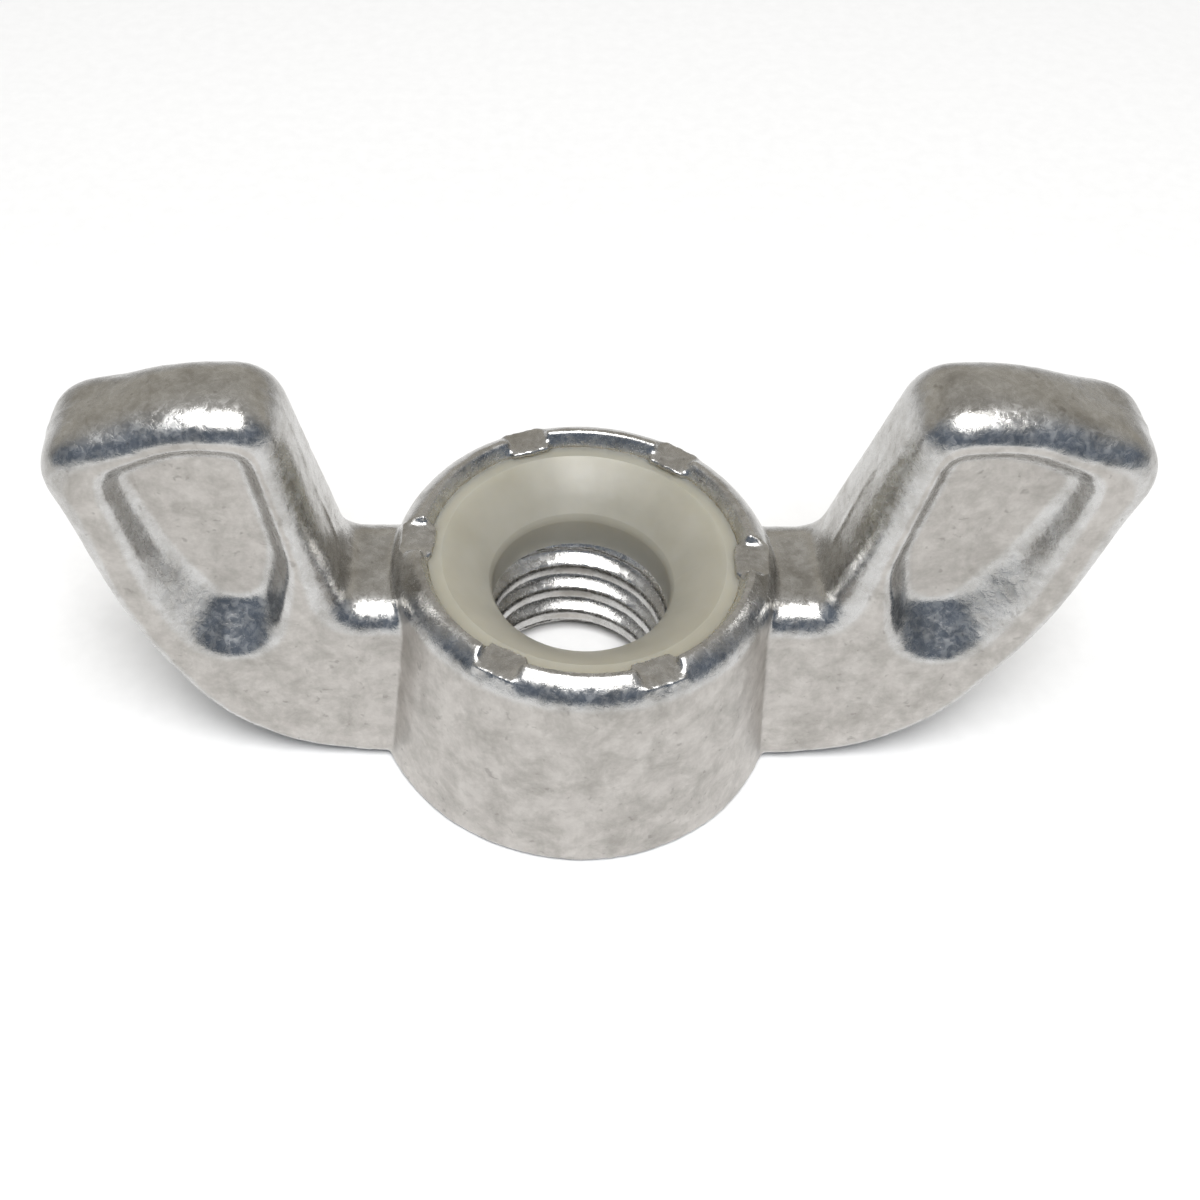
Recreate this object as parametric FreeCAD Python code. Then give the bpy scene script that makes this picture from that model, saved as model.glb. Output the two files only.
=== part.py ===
import FreeCAD, Part
import math
import os

# A die-cast wing nut with a nylon locking ring, in millimetres.
# The origin is the centre of the hub's bearing face, on the thread's axis. +Z runs up the
# thread, +X along the wings and Y across their faces.

# Hub
HUB_HEIGHT = 9.15
HUB_BASE_RADIUS = 7.95
HUB_TOP_RADIUS = 6.95
RIM_ROUND = 1.5
RIM_CREST_RADIUS = 6.1
BASE_ROUND = 0.2

# Thread: 5/16-18 UNC, right hand
THREAD_PITCH = 25.4 / 18
THREAD_MAJOR_RADIUS = 25.4 * 5 / 16 / 2
THREAD_BORE_RADIUS = 3.35
THREAD_FLANK_ANGLE = math.radians(30)
THREAD_CHAMFER = 0.6
THREAD_SWEEP_TURNS = 2

# Nylon ring and the counterbore that it sits in
SEAT_Z = 5.45
SEAT_RADIUS = 5.75
RING_EDGE_Z = 8.45
RING_LAND = 0.5
RING_LIP_Z = 6.9
RING_LIP_ROUND = 0.5
RING_BORE_RADIUS = 3.36

# Six dents punched in the rim, each of which pushes a lip of metal over the ring
STAKE_ANGLES = [-4, 53, 109, 175, 240, 292]
STAKE_WIDTH = 1.55
STAKE_RADIUS = 6.8
STAKE_FLOOR_Z = 8.7
STAKE_LIP_REACH = 0.25

# Wings: corners of the outline across the object, as (x, z, corner radius, edge rounding there)
WING_OUTLINE = [
    (4.5, 0.2, 0.0, 0.0),
    (12.6, 0.2, 7.5, 0.4),
    (16.3, 6.4, 18.0, 0.45),
    (19.35, 15.0, 1.9, 1.2),
    (14.1, 16.8, 8.5, 1.6),
    (10.7, 16.6, 1.8, 1.5),
    (8.75, 7.9, 0.8, 1.3),
    (4.5, 7.9, 0.0, 0.0),
]
WING_LOW_Z = 0.2
WING_HIGH_Z = 16.4
WING_LOW_HALF_THICKNESS = 3.2
WING_HIGH_HALF_THICKNESS = 2.05

# Pockets, one in each face of each wing: corners as (x, z, corner radius)
POCKET_RIM = [
    (16.75, 14.4, 0.8),
    (14.05, 15.6, 4.5),
    (11.4, 15.42, 0.7),
    (10.45, 10.0, 3.0),
    (12.4, 1.7, 1.9),
    (15.75, 9.2, 8.0),
]
POCKET_FLOOR = [
    (16.35, 13.75, 0.6),
    (14.0, 14.8, 3.5),
    (11.85, 14.6, 0.55),
    (11.1, 10.0, 2.5),
    (12.1, 5.35, 1.25),
    (15.0, 10.2, 6.0),
]
POCKET_FLOOR_HALF_THICKNESS = 1.25
POCKET_FLOOR_ROUND = 0.5


def rounded_outline(corners):
    """A closed wire through (point, radius) corners, each turned by an arc of its own radius."""
    stops = []
    for i, (here, radius) in enumerate(corners):
        back = (corners[i - 1][0] - here).normalize()
        ahead = (corners[(i + 1) % len(corners)][0] - here).normalize()
        half_angle = back.getAngle(ahead) / 2
        reach = radius / math.tan(half_angle)
        bisector = (back + ahead).normalize()
        middle = here + bisector * (radius / math.sin(half_angle) - radius)
        stops.append((here + back * reach, middle, here + ahead * reach, radius))
    edges = []
    for i, (start, middle, end, radius) in enumerate(stops):
        if radius:
            edges.append(Part.Arc(start, middle, end).toShape())
        next_start = stops[(i + 1) % len(stops)][0]
        edges.append(Part.LineSegment(end, next_start).toShape())
    return Part.Wire(edges)


def wing_half_thickness(z):
    """Half of the wing's thickness at a height: it thins evenly from the web to the tip."""
    share = (z - WING_LOW_Z) / (WING_HIGH_Z - WING_LOW_Z)
    return WING_LOW_HALF_THICKNESS + share * (WING_HIGH_HALF_THICKNESS - WING_LOW_HALF_THICKNESS)


def wing_blank():
    """One wing with its web: the outline extruded across, then planed to its tapering thickness."""
    depth = 2 * WING_LOW_HALF_THICKNESS + 2
    corners = [(FreeCAD.Vector(x, -depth / 2, z), radius) for x, z, radius, _ in WING_OUTLINE]
    blank = Part.Face(rounded_outline(corners)).extrude(FreeCAD.Vector(0, depth, 0))
    low = WING_LOW_Z - 1
    high = WING_HIGH_Z + 1
    section = [
        FreeCAD.Vector(0, -wing_half_thickness(low), low),
        FreeCAD.Vector(0, wing_half_thickness(low), low),
        FreeCAD.Vector(0, wing_half_thickness(high), high),
        FreeCAD.Vector(0, -wing_half_thickness(high), high),
    ]
    taper = Part.Face(Part.makePolygon(section + section[:1])).extrude(FreeCAD.Vector(30, 0, 0))
    return blank.common(taper)


def edge_middle(edge):
    return edge.valueAt((edge.FirstParameter + edge.LastParameter) / 2)


def rounded_wing_blank():
    """The wing's blank with rounded edges: each arc has its own rounding, which runs on between arcs."""
    blank = wing_blank()
    roundings = []
    for number, edge in enumerate(blank.Edges, start=1):
        middle = edge_middle(edge)
        on_face = abs(abs(middle.y) - wing_half_thickness(middle.z)) < 1e-4
        if on_face and isinstance(edge.Curve, Part.Ellipse):
            nearest = min(WING_OUTLINE, key=lambda corner: math.dist(corner[:2], (middle.x, middle.z)))
            roundings.append((number, nearest[3], nearest[3]))
    document = FreeCAD.newDocument("rounding")
    base = document.addObject("Part::Feature", "blank")
    base.Shape = blank
    fillet = document.addObject("Part::Fillet", "fillet")
    fillet.Base = base
    fillet.Edges = roundings
    document.recompute()
    return fillet.Shape.copy()


def pocket_section(level, side):
    """A section of the pocket: at level 0 its flat floor, at level 1 its rim on the wing's face."""
    corners = []
    for (rim_x, rim_z, rim_radius), (x, z, radius) in zip(POCKET_RIM, POCKET_FLOOR):
        here_x = x + (rim_x - x) * level
        here_z = z + (rim_z - z) * level
        depth = wing_half_thickness(here_z) - POCKET_FLOOR_HALF_THICKNESS
        y = side * (POCKET_FLOOR_HALF_THICKNESS + depth * level)
        corners.append((FreeCAD.Vector(here_x, y, here_z), radius + (rim_radius - radius) * level))
    return rounded_outline(corners)


def pocket(side):
    """The recess in one face of a wing: sloping walls down to a flat floor."""
    cutter = Part.makeLoft([pocket_section(0, side), pocket_section(1, side)], True, True)
    floor_y = side * POCKET_FLOOR_HALF_THICKNESS
    floor_edges = [e for e in cutter.Edges if abs(edge_middle(e).y - floor_y) < 1e-6]
    return cutter.makeFillet(POCKET_FLOOR_ROUND, floor_edges)


def wing():
    """One wing with rounded edges and a pocket in each face."""
    return rounded_wing_blank().cut([pocket(-1), pocket(1)])


def turned(profile):
    """A solid turned about Z from a closed profile of (radius, z) points."""
    points = [FreeCAD.Vector(radius, 0, z) for radius, z in profile]
    face = Part.Face(Part.makePolygon(points + points[:1]))
    return face.revolve(FreeCAD.Vector(0, 0, 0), FreeCAD.Vector(0, 0, 1), 360)


def hub_blank():
    """The tapering hub, solid, with its rim and base edges rounded."""
    cone = Part.makeCone(HUB_BASE_RADIUS, HUB_TOP_RADIUS, HUB_HEIGHT)
    rim = [e for e in cone.Edges if e.Closed and edge_middle(e).z > HUB_HEIGHT - 1e-6]
    base = [e for e in cone.Edges if e.Closed and edge_middle(e).z < 1e-6]
    return cone.makeFillet(RIM_ROUND, rim).makeFillet(BASE_ROUND, base)


def bore():
    """What is drilled out of the hub: the tapping hole, its two chamfers and the ring's seat."""
    wide = THREAD_BORE_RADIUS + THREAD_CHAMFER
    above = HUB_HEIGHT + 1
    return turned([
        (0, -1),
        (wide + 1, -1),
        (THREAD_BORE_RADIUS, THREAD_CHAMFER),
        (THREAD_BORE_RADIUS, SEAT_Z - THREAD_CHAMFER),
        (wide, SEAT_Z),
        (SEAT_RADIUS, SEAT_Z),
        (SEAT_RADIUS, RING_EDGE_Z),
        (RIM_CREST_RADIUS, HUB_HEIGHT),
        (RIM_CREST_RADIUS, above),
        (0, above),
    ])


def thread_grooves():
    """The tapped groove, in lengths that meet end to end: a trapezium swept up a helix.

    They run past both ends of the tapping hole.
    """
    root = THREAD_MAJOR_RADIUS
    inside = THREAD_BORE_RADIUS - 0.3
    root_half_width = THREAD_PITCH / 16
    inside_half_width = root_half_width + (root - inside) * math.tan(THREAD_FLANK_ANGLE)
    corners = [
        FreeCAD.Vector(inside, 0, -inside_half_width),
        FreeCAD.Vector(root, 0, -root_half_width),
        FreeCAD.Vector(root, 0, root_half_width),
        FreeCAD.Vector(inside, 0, inside_half_width),
    ]
    profile = Part.makePolygon(corners + corners[:1])
    rise = THREAD_SWEEP_TURNS * THREAD_PITCH
    helix = Part.makeHelix(THREAD_PITCH, rise, root)
    groove = Part.Wire(helix.Edges).makePipeShell([profile], True, True)
    grooves = []
    start = -THREAD_PITCH
    while start < SEAT_Z + THREAD_PITCH:
        grooves.append(groove.translated(FreeCAD.Vector(0, 0, start)))
        start += rise
    return grooves


def stake_boxes(inner_radius, outer_radius, low_z, high_z):
    """One block for each stake, between two radii and two heights."""
    boxes = []
    for angle in STAKE_ANGLES:
        box = Part.makeBox(outer_radius - inner_radius, STAKE_WIDTH, high_z - low_z)
        box.translate(FreeCAD.Vector(inner_radius, -STAKE_WIDTH / 2, low_z))
        box.rotate(FreeCAD.Vector(0, 0, 0), FreeCAD.Vector(0, 0, 1), angle)
        boxes.append(box)
    return boxes


def wing_nut_body():
    """The casting: hub, two wings, tapped thread and staked rim, all one piece of metal."""
    right = wing()
    left = right.mirror(FreeCAD.Vector(0, 0, 0), FreeCAD.Vector(1, 0, 0))
    body = hub_blank().fuse([right, left]).cut(bore())
    for groove in thread_grooves():
        body = body.cut(groove)
    body = body.cut(stake_boxes(SEAT_RADIUS - 1, STAKE_RADIUS, STAKE_FLOOR_Z, HUB_HEIGHT + 1))
    lips = stake_boxes(SEAT_RADIUS - STAKE_LIP_REACH, STAKE_RADIUS, RING_EDGE_Z, STAKE_FLOOR_Z)
    return body.fuse(lips).removeSplitter()


def nylon_lock_ring():
    """The nylon ring: flat under the rim, then dished down to a smooth hole."""
    dish_start = FreeCAD.Vector(SEAT_RADIUS - RING_LAND, 0, RING_EDGE_Z)
    lip = FreeCAD.Vector(RING_BORE_RADIUS, 0, RING_LIP_Z)
    dish_middle = (dish_start + lip) * 0.5 + FreeCAD.Vector(-0.08, 0, 0.1)
    corners = [
        FreeCAD.Vector(RING_BORE_RADIUS, 0, SEAT_Z),
        FreeCAD.Vector(SEAT_RADIUS, 0, SEAT_Z),
        FreeCAD.Vector(SEAT_RADIUS, 0, RING_EDGE_Z),
        dish_start,
    ]
    dish = Part.Arc(dish_start, dish_middle, lip).toShape()
    wire = Part.Wire(Part.makePolygon([lip] + corners).Edges + [dish])
    ring = Part.Face(wire).revolve(FreeCAD.Vector(0, 0, 0), FreeCAD.Vector(0, 0, 1), 360)
    lip_edges = [e for e in ring.Edges if e.Closed and abs(edge_middle(e).z - RING_LIP_Z) < 1e-6]
    return ring.makeFillet(RING_LIP_ROUND, lip_edges)


PIECES = {
    "wing_nut_body": wing_nut_body,
    "nylon_lock_ring": nylon_lock_ring,
}

os.makedirs("parts", exist_ok=True)
for name, make in PIECES.items():
    make().exportStep("parts/" + name + ".step")
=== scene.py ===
import math

import bpy
import numpy as np
from mathutils import Matrix, Vector, kdtree, noise


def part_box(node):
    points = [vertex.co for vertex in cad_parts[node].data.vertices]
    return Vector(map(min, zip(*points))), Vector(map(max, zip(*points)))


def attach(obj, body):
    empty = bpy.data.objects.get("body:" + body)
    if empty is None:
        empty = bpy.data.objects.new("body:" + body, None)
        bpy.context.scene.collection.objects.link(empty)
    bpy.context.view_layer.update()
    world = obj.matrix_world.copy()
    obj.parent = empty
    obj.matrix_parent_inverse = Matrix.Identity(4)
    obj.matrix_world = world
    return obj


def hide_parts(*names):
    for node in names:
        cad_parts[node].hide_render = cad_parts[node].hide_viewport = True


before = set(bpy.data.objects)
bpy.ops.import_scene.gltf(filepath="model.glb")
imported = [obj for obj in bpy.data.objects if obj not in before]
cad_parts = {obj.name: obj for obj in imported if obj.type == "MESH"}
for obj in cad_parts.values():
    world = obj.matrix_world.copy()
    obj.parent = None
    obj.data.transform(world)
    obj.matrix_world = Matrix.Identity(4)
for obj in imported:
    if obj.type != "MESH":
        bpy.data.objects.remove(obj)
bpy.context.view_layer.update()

# A die-cast wing nut with a nylon locking ring, on a pale floor. All lengths are in metres.

MM = 0.001
BODY_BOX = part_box("wing_nut_body")
RING_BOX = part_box("nylon_lock_ring")
SEED = 31

# The casting's mesh
VOXEL = 0.1 * MM
HUB_SMOOTH_STEPS = 8
WING_SMOOTH_STEPS = 60
TRIANGLE_LIMIT = 185000
BOX_MARGIN = 0.001 * MM
RING_RADIUS = RING_BOX[1][0]
RING_TOP = RING_BOX[1][2]
HUB_RADIUS = BODY_BOX[1][1]

# The cast skin's waviness: (height in mm, feature size in mm, noise offset)
WAVES = [
    (0.022, 2.6, 1.7),
    (0.008, 0.7, 3.9),
    (0.009, 0.32, 7.2),
]
PIT_COUNT = 260
PIT_RADII = (0.1 * MM, 0.24 * MM)
PIT_DEPTHS = (0.06, 0.16)
RIDGE_HEIGHT = 0.06 * MM
RIDGE_HALF_WIDTH = 0.13 * MM
RIDGE_WANDER = 0.12 * MM

# The stakes in the rim, at angles about Z in degrees
STAKE_ANGLES = [-4, 53, 109, 175, 240, 292]
STAKE_LIP_RADIUS = RING_RADIUS - 0.3 * MM
STAKE_MIDDLE_RADIUS = RING_RADIUS + 0.35 * MM
STAKE_REACH = (0.5 * MM, 1.3 * MM)
STAKE_LIP_RAGGEDNESS = 0.05 * MM
STAKE_ROUGHNESS = 0.012 * MM
STAKE_BURNISH = 0.7

# The zinc's texture: feature sizes and colours
CLOUD_SIZE = 2.6 * MM
GRIME_SIZE = 1.4 * MM
MOTTLE_SIZE = 0.55 * MM
SPECK_SIZE = 0.38 * MM
SCUFF_SIZE = 0.3 * MM
GRAIN_SIZE = 0.13 * MM
GRIME_COLOUR = (0.3, 0.285, 0.26, 1.0)
GRIME_STRENGTH = 0.72
SPECK_COLOUR = (0.2, 0.185, 0.17, 1.0)
SPECK_STRENGTH = 0.4

# The nylon's texture
NYLON_CLOUD_SIZE = 2.2 * MM
NYLON_GRAIN_SIZE = 0.12 * MM
NYLON_EDGE_COLOUR = (0.4, 0.365, 0.27, 1.0)
TURNING_RADIANS_PER_METRE = 9500.0
TURNING_WANDER = 0.25 * MM

# The stage and its light
FLOOR_HALF_WIDTH = 0.6
SOFTBOX_WAY = (0.0, -0.35, 1.0)
SOFTBOX_DISTANCE = 0.35
SOFTBOX_WIDTH = 0.17
SOFTBOX_WATTS = 1.16
OVERHEAD_COLOUR = (0.42, 0.41, 0.39)
FRONT_BACK_BLEND = 0.25

# The camera, about a point in the nut's middle plane
AIM = Vector((-5.378, 0.0, 7.245)) * MM
CAMERA_BACK = Vector((0.02354, -0.66990, 0.74208))
CAMERA_UP = Vector((-0.00482, 0.74220, 0.67016))
CAMERA_DISTANCE = 57.77 * MM
LENS = 46.135
SENSOR_WIDTH = 36.0
SHIFT = (0.1349, -0.0206)


# ---------------------------------------------------------------- node helpers


def node(tree, kind, inputs=None, **settings):
    """Adds a node, sets its properties, and fills its inputs with values or links."""
    made = tree.nodes.new(kind)
    for name, value in settings.items():
        setattr(made, name, value)
    for name, value in (inputs or {}).items():
        if isinstance(value, bpy.types.NodeSocket):
            tree.links.new(value, made.inputs[name])
        else:
            made.inputs[name].default_value = value
    return made


def noise_at(tree, place, size, detail=3.0, roughness=0.55, distortion=0.0):
    """A noise value whose features are about `size` metres across."""
    inputs = {
        "Vector": place,
        "Scale": 1.0 / size,
        "Detail": detail,
        "Roughness": roughness,
        "Distortion": distortion,
    }
    return node(tree, "ShaderNodeTexNoise", inputs).outputs["Fac"]


def ramp(tree, value, stops):
    """A colour ramp through (position, colour or grey) stops."""
    made = node(tree, "ShaderNodeValToRGB", {"Fac": value})
    elements = made.color_ramp.elements
    while len(elements) < len(stops):
        elements.new(0.5)
    for element, (position, colour) in zip(elements, stops):
        element.position = position
        element.color = (colour, colour, colour, 1) if isinstance(colour, float) else (*colour, 1)
    return made.outputs["Color"]


def math_of(tree, operation, first, second=0.0):
    made = node(tree, "ShaderNodeMath", {0: first, 1: second}, operation=operation)
    return made.outputs[0]


def mix_colour(tree, factor, first, second, blend="MIX"):
    made = node(tree, "ShaderNodeMix", data_type="RGBA", blend_type=blend)
    for socket, value in zip((made.inputs[0], made.inputs[6], made.inputs[7]), (factor, first, second)):
        if isinstance(value, bpy.types.NodeSocket):
            tree.links.new(value, socket)
        else:
            socket.default_value = value
    return made.outputs[2]


def new_material(name):
    material = bpy.data.materials.new(name)
    material.use_nodes = True
    material.node_tree.nodes.clear()
    return material, material.node_tree


def finish_material(tree, shader_inputs, bump_layers):
    """A Principled surface with bumps stacked on each other, each as (height, distance, strength)."""
    normal = None
    for height, distance, strength in bump_layers:
        inputs = {"Height": height, "Distance": distance, "Strength": strength}
        if normal is not None:
            inputs["Normal"] = normal
        normal = node(tree, "ShaderNodeBump", inputs).outputs["Normal"]
    shader = node(tree, "ShaderNodeBsdfPrincipled", {**shader_inputs, "Normal": normal})
    output = node(tree, "ShaderNodeOutputMaterial")
    tree.links.new(shader.outputs["BSDF"], output.inputs["Surface"])


# ---------------------------------------------------------------- materials


def cast_zinc():
    """Bare zinc: fine-grained and dull on the cast flats, burnished on edges, walls and rim."""
    material, tree = new_material("cast_zinc")
    place = node(tree, "ShaderNodeTexCoord").outputs["Object"]
    burnish = node(tree, "ShaderNodeAttribute", attribute_name="burnish").outputs["Fac"]
    clouds = noise_at(tree, place, CLOUD_SIZE, 4.0)
    mottle = noise_at(tree, place, MOTTLE_SIZE, 5.0, 0.65)
    scuffs = noise_at(tree, place, SCUFF_SIZE, 5.0, 0.7, 0.6)
    grain = noise_at(tree, place, GRAIN_SIZE, 3.0, 0.6)
    speckle = noise_at(tree, place, SPECK_SIZE, 2.0, 0.5, 0.4)
    specks = ramp(tree, speckle, [(0.66, 0.0), (0.74, 1.0)])

    dull_stops = [(0.3, (0.47, 0.445, 0.42)), (0.55, (0.56, 0.535, 0.505)), (0.75, (0.63, 0.605, 0.575))]
    bright_stops = [(0.3, (0.53, 0.525, 0.515)), (0.7, (0.66, 0.655, 0.645))]
    dull = ramp(tree, mottle, dull_stops)
    bright = ramp(tree, scuffs, bright_stops)
    colour = mix_colour(tree, burnish, dull, bright)
    blotches = noise_at(tree, place, GRIME_SIZE, 7.0, 0.72, 0.3)
    grime = math_of(tree, "MULTIPLY", ramp(tree, blotches, [(0.42, 0.0), (0.68, 1.0)]), GRIME_STRENGTH)
    colour = mix_colour(tree, grime, colour, GRIME_COLOUR)
    stain = math_of(tree, "MULTIPLY", specks, SPECK_STRENGTH)
    colour = mix_colour(tree, stain, colour, SPECK_COLOUR)

    rough_dull = ramp(tree, mottle, [(0.3, 0.36), (0.7, 0.48)])
    rough_bright = ramp(tree, scuffs, [(0.35, 0.16), (0.65, 0.36)])
    roughness = mix_colour(tree, burnish, rough_dull, rough_bright)
    scuff_depth = math_of(tree, "MULTIPLY", scuffs, burnish)
    bumps = [
        (clouds, 0.03 * MM, 0.5),
        (mottle, 0.016 * MM, 0.6),
        (scuff_depth, 0.02 * MM, 0.7),
        (grain, 0.006 * MM, 0.5),
    ]
    surface = {"Base Color": colour, "Metallic": 1.0, "Roughness": roughness}
    finish_material(tree, surface, bumps)
    return material


def milky_nylon():
    """Natural nylon: milky and slightly translucent, yellower near its outer edge, with turning marks."""
    material, tree = new_material("milky_nylon")
    place = node(tree, "ShaderNodeTexCoord").outputs["Object"]
    split = node(tree, "ShaderNodeSeparateXYZ", {"Vector": place})
    flat = node(tree, "ShaderNodeCombineXYZ", {"X": split.outputs["X"], "Y": split.outputs["Y"]})
    radius = node(tree, "ShaderNodeVectorMath", {0: flat.outputs[0]}, operation="LENGTH").outputs["Value"]
    share = math_of(tree, "DIVIDE", radius, RING_RADIUS)
    clouds = noise_at(tree, place, NYLON_CLOUD_SIZE, 3.0)
    wander = math_of(tree, "MULTIPLY", clouds, TURNING_WANDER)
    wandering_radius = math_of(tree, "ADD", radius, wander)
    phase = math_of(tree, "MULTIPLY", wandering_radius, TURNING_RADIANS_PER_METRE)
    turning = math_of(tree, "SINE", phase)
    grain = noise_at(tree, place, NYLON_GRAIN_SIZE, 2.0)
    edge = ramp(tree, share, [(0.7, 0.0), (0.92, 0.2), (1.0, 0.8)])
    milky = ramp(tree, clouds, [(0.3, (0.345, 0.33, 0.275)), (0.7, (0.405, 0.39, 0.335))])
    colour = mix_colour(tree, edge, milky, NYLON_EDGE_COLOUR)
    bumps = [
        (clouds, 0.08 * MM, 0.5),
        (turning, 0.0025 * MM, 0.4),
        (grain, 0.003 * MM, 0.4),
    ]
    surface = {
        "Base Color": colour,
        "Roughness": ramp(tree, clouds, [(0.3, 0.36), (0.7, 0.48)]),
        "Subsurface Weight": 0.85,
        "Subsurface Radius": (1.0, 0.85, 0.6),
        "Subsurface Scale": 2.5 * MM,
        "IOR": 1.53,
    }
    finish_material(tree, surface, bumps)
    return material


def pale_floor():
    material, tree = new_material("pale_floor")
    place = node(tree, "ShaderNodeTexCoord").outputs["Object"]
    grain = noise_at(tree, place, 0.8 * MM, 3.0)
    colour = ramp(tree, grain, [(0.3, (0.9, 0.9, 0.9)), (0.7, (0.93, 0.93, 0.93))])
    surface = {"Base Color": colour, "Roughness": 0.7, "Specular IOR Level": 0.2}
    finish_material(tree, surface, [(grain, 0.01 * MM, 0.1)])
    return material


# ---------------------------------------------------------------- the casting's mesh


def with_modifiers(mesh, name, *modifiers):
    """The mesh after the given modifiers, each as (kind, settings)."""
    carrier = bpy.data.objects.new(name, mesh)
    bpy.context.scene.collection.objects.link(carrier)
    for kind, settings in modifiers:
        modifier = carrier.modifiers.new(kind, kind)
        for key, value in settings.items():
            setattr(modifier, key, value)
    graph = bpy.context.evaluated_depsgraph_get()
    result = bpy.data.meshes.new_from_object(carrier.evaluated_get(graph))
    bpy.data.objects.remove(carrier)
    return result


def vertex_arrays(mesh):
    points = np.empty(len(mesh.vertices) * 3)
    normals = np.empty(len(mesh.vertices) * 3)
    mesh.vertices.foreach_get("co", points)
    mesh.vertex_normals.foreach_get("vector", normals)
    return points.reshape(-1, 3), normals.reshape(-1, 3)


def noise_field(points, size, offset):
    """Seeded noise from -1 to 1 at each point, with features about `size` metres across."""
    shift = Vector((offset, offset * 0.37, -offset * 0.71))
    return np.array([noise.noise(Vector(point) / size + shift) for point in points.tolist()])


def soft_step(value, low, high):
    share = np.clip((value - low) / (high - low), 0.0, 1.0)
    return share * share * (3 - 2 * share)


def pits(points, dull, random):
    """Depths of small round casting pits scattered over the dull surfaces."""
    depth = np.zeros(len(points))
    tree = kdtree.KDTree(len(points))
    for index, point in enumerate(points.tolist()):
        tree.insert(point, index)
    tree.balance()
    for index in random.choice(len(points), PIT_COUNT, replace=False):
        radius = random.uniform(*PIT_RADII)
        deepest = random.uniform(*PIT_DEPTHS) * radius
        for _, near, distance in tree.find_range(points[index].tolist(), radius):
            fall = 1 - (distance / radius) ** 2
            depth[near] = max(depth[near], deepest * fall * fall)
    return depth * dull


def stake_nearness(points):
    """1 at the middle of each stake, falling to 0 about a millimetre away."""
    nearness = np.zeros(len(points))
    for angle in STAKE_ANGLES:
        turn = math.radians(angle)
        middle = np.array([math.cos(turn), math.sin(turn)]) * STAKE_MIDDLE_RADIUS
        distance = np.hypot(points[:, 0] - middle[0], points[:, 1] - middle[1])
        nearness = np.maximum(nearness, 1 - soft_step(distance, *STAKE_REACH))
    return nearness * soft_step(points[:, 2], RING_TOP - 0.6 * MM, RING_TOP - 0.2 * MM)


def parting_ridge(points, normals):
    """The flash line where the two die halves met, round the edges of both wings at mid-thickness."""
    outside_hub = soft_step(np.abs(points[:, 0]), HUB_RADIUS, HUB_RADIUS + 0.6 * MM)
    on_edge = 1 - soft_step(np.abs(normals[:, 1]), 0.35, 0.7)
    along = points * np.array([1.0, 0.0, 1.0])
    wander = noise_field(along, 2.2 * MM, 5.1) * RIDGE_WANDER
    height = 0.5 + 0.5 * noise_field(along, 0.9 * MM, 9.3)
    spread = np.exp(-(((points[:, 1] - wander) / RIDGE_HALF_WIDTH) ** 2))
    on_top = soft_step(normals[:, 2], 0.5, 0.8)
    worn = 1 - 0.75 * on_top
    return RIDGE_HEIGHT * outside_hub * on_edge * height * spread * worn


def burnish_of(points, normals):
    """Where tumbling has polished the metal: 1 on rounded edges and walls, 0 on the dull flats."""
    radius = np.hypot(points[:, 0], points[:, 1])
    flat_face = soft_step(np.abs(normals[:, 1]), 0.955, 0.99)
    hub_wall = soft_step(0.35 - np.abs(normals[:, 2]), 0.0, 0.15)
    hub_wall *= 1 - soft_step(radius, HUB_RADIUS, HUB_RADIUS + 0.15 * MM)
    hub_wall *= soft_step(radius, RING_RADIUS + 0.6 * MM, RING_RADIUS + 1.0 * MM)
    dull = np.maximum(flat_face, hub_wall)
    return 1 - dull


def softened(mesh):
    """The casting rebuilt as a fine even mesh with softened edges, softer on the wings than on the hub."""
    mesh = with_modifiers(
        mesh,
        "casting_remesh",
        ("REMESH", {"mode": "VOXEL", "voxel_size": VOXEL, "adaptivity": 0.0}),
        ("SMOOTH", {"factor": 0.5, "iterations": HUB_SMOOTH_STEPS}),
    )
    hub_points, _ = vertex_arrays(mesh)
    softer = with_modifiers(
        mesh,
        "casting_soft",
        ("SMOOTH", {"factor": 0.5, "iterations": WING_SMOOTH_STEPS}),
    )
    wing_points, _ = vertex_arrays(softer)
    on_wing = soft_step(np.abs(hub_points[:, 0]), HUB_RADIUS, HUB_RADIUS + 1.2 * MM)[:, None]
    mesh.vertices.foreach_set("co", (hub_points + (wing_points - hub_points) * on_wing).ravel())
    mesh.update()
    return mesh


def weather(mesh, random):
    """Gives the mesh its waviness, pits, flash line and ragged stakes, and marks what is burnished."""
    points, normals = vertex_arrays(mesh)
    radius = np.hypot(points[:, 0], points[:, 1])
    outside = soft_step(radius, RING_RADIUS - 0.4 * MM, RING_RADIUS)
    stakes = stake_nearness(points)
    lips = stakes * (1 - soft_step(radius, STAKE_LIP_RADIUS, STAKE_MIDDLE_RADIUS))
    burnish = burnish_of(points, normals)

    move = np.zeros(len(points))
    for height, size, offset in WAVES:
        move += height * MM * noise_field(points, size * MM, offset)
    move -= pits(points, 1 - burnish, random)
    move += parting_ridge(points, normals)
    move *= outside
    move += STAKE_LIP_RAGGEDNESS * lips * noise_field(points, 0.45 * MM, 12.4)
    move += STAKE_ROUGHNESS * stakes * noise_field(points, 0.3 * MM, 8.8)
    mesh.vertices.foreach_set("co", (points + normals * move[:, None]).ravel())
    attribute = mesh.attributes.new("burnish", "FLOAT", "POINT")
    attribute.data.foreach_set("value", np.maximum(burnish, stakes * STAKE_BURNISH))
    mesh.update()


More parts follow.
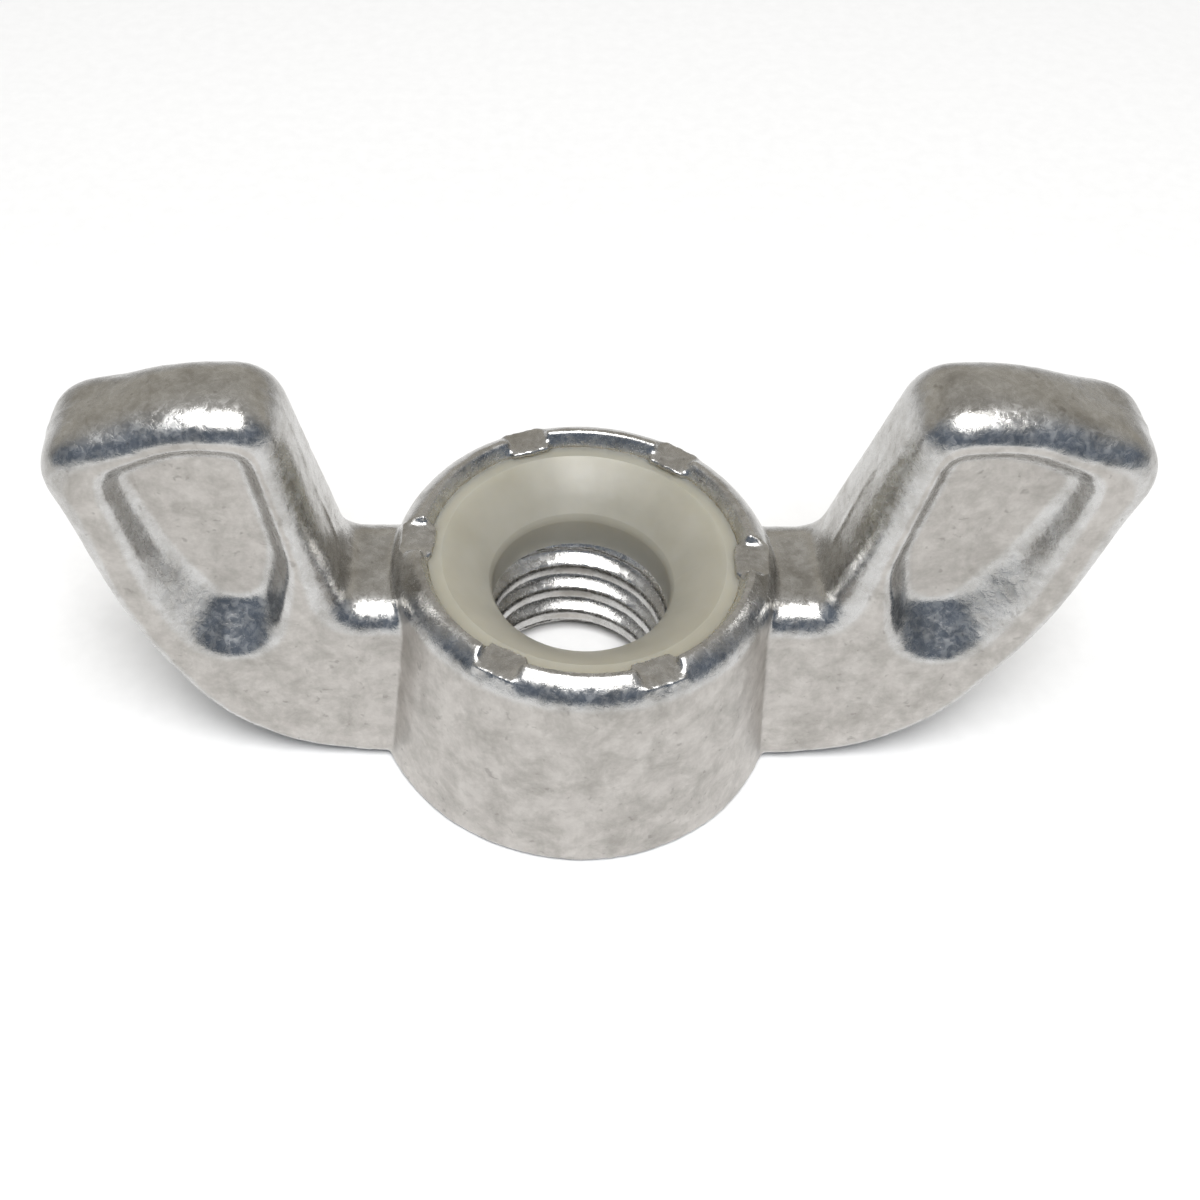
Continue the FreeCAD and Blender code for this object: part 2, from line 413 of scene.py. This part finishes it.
def thinned(mesh):
    """The mesh with fewer triangles, kept just inside the solid's box."""
    triangles = sum(len(polygon.vertices) - 2 for polygon in mesh.polygons)
    ratio = min(1.0, TRIANGLE_LIMIT / triangles)
    mesh = with_modifiers(mesh, "casting_thin", ("DECIMATE", {"ratio": ratio}))
    points, _ = vertex_arrays(mesh)
    low = np.array(BODY_BOX[0]) + BOX_MARGIN
    high = np.array(BODY_BOX[1]) - BOX_MARGIN
    mesh.vertices.foreach_set("co", np.clip(points, low, high).ravel())
    mesh.update()
    return mesh


def build_casting(material):
    """The casting at full detail, in place of its plain solid."""
    mesh = softened(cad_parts["wing_nut_body"].data.copy())
    weather(mesh, np.random.default_rng(SEED))
    mesh = thinned(mesh)
    mesh.shade_smooth()
    mesh.materials.clear()
    mesh.materials.append(material)
    piece = bpy.data.objects.new("wing_nut_casting", mesh)
    bpy.context.scene.collection.objects.link(piece)
    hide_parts("wing_nut_body")
    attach(piece, "root")


def dress_ring(material):
    """The nylon ring keeps its own solid and gets its material."""
    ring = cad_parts["nylon_lock_ring"]
    for place in ring.material_slots:
        place.material = material


# ---------------------------------------------------------------- the stage


def add_floor(material):
    half = FLOOR_HALF_WIDTH
    corners = [(-half, -half, 0), (half, -half, 0), (half, half, 0), (-half, half, 0)]
    mesh = bpy.data.meshes.new("floor")
    mesh.from_pydata(corners, [], [(0, 1, 2, 3)])
    mesh.materials.append(material)
    floor = bpy.data.objects.new("floor", mesh)
    bpy.context.scene.collection.objects.link(floor)


def add_softbox():
    """A square soft light above the nut and a little in front, facing it."""
    light = bpy.data.lights.new("top_softbox", "AREA")
    light.shape = "SQUARE"
    light.size = SOFTBOX_WIDTH
    light.energy = SOFTBOX_WATTS
    lamp = bpy.data.objects.new("top_softbox", light)
    way = Vector(SOFTBOX_WAY).normalized()
    lamp.location = way * SOFTBOX_DISTANCE
    lamp.rotation_euler = way.to_track_quat("Z", "Y").to_euler()
    bpy.context.scene.collection.objects.link(lamp)


def add_surroundings():
    """A plain room: warm and dim behind and above, cool and dark in front, pale to the eye."""
    world = bpy.data.worlds.new("room")
    bpy.context.scene.world = world
    world.use_nodes = True
    tree = world.node_tree
    tree.nodes.clear()
    way = node(tree, "ShaderNodeTexCoord").outputs["Generated"]
    split = node(tree, "ShaderNodeSeparateXYZ", {"Vector": way})
    front_stops = [
        (0.0, (0.27, 0.31, 0.35)),
        (0.2, (0.12, 0.145, 0.19)),
        (0.55, (0.16, 0.195, 0.25)),
        (1.0, OVERHEAD_COLOUR),
    ]
    back_stops = [(0.0, (0.46, 0.46, 0.46)), (0.35, (0.5, 0.47, 0.41)), (1.0, OVERHEAD_COLOUR)]
    front = ramp(tree, split.outputs["Z"], front_stops)
    back = ramp(tree, split.outputs["Z"], back_stops)
    blend = {"Value": split.outputs["Y"], "From Min": -FRONT_BACK_BLEND, "From Max": FRONT_BACK_BLEND}
    turn = node(tree, "ShaderNodeMapRange", blend)
    room = mix_colour(tree, turn.outputs[0], front, back)
    eye = node(tree, "ShaderNodeLightPath").outputs["Is Camera Ray"]
    shown = mix_colour(tree, eye, room, (1.0, 1.0, 1.0, 1.0))
    background = node(tree, "ShaderNodeBackground", {"Color": shown, "Strength": 1.0})
    output = node(tree, "ShaderNodeOutputWorld")
    tree.links.new(background.outputs[0], output.inputs["Surface"])


def add_camera():
    data = bpy.data.cameras.new("camera")
    data.lens = LENS
    data.sensor_width = SENSOR_WIDTH
    data.shift_x, data.shift_y = SHIFT
    data.clip_start = 1 * MM
    data.clip_end = 10.0
    camera = bpy.data.objects.new("camera", data)
    back = CAMERA_BACK.normalized()
    right = CAMERA_UP.cross(back).normalized()
    up = back.cross(right)
    turn = Matrix((right, up, back)).transposed()
    camera.matrix_world = Matrix.Translation(AIM + back * CAMERA_DISTANCE) @ turn.to_4x4()
    bpy.context.scene.collection.objects.link(camera)
    bpy.context.scene.camera = camera


add_camera()
build_casting(cast_zinc())
dress_ring(milky_nylon())
add_floor(pale_floor())
add_surroundings()
add_softbox()
bpy.context.scene.view_settings.view_transform = "Standard"
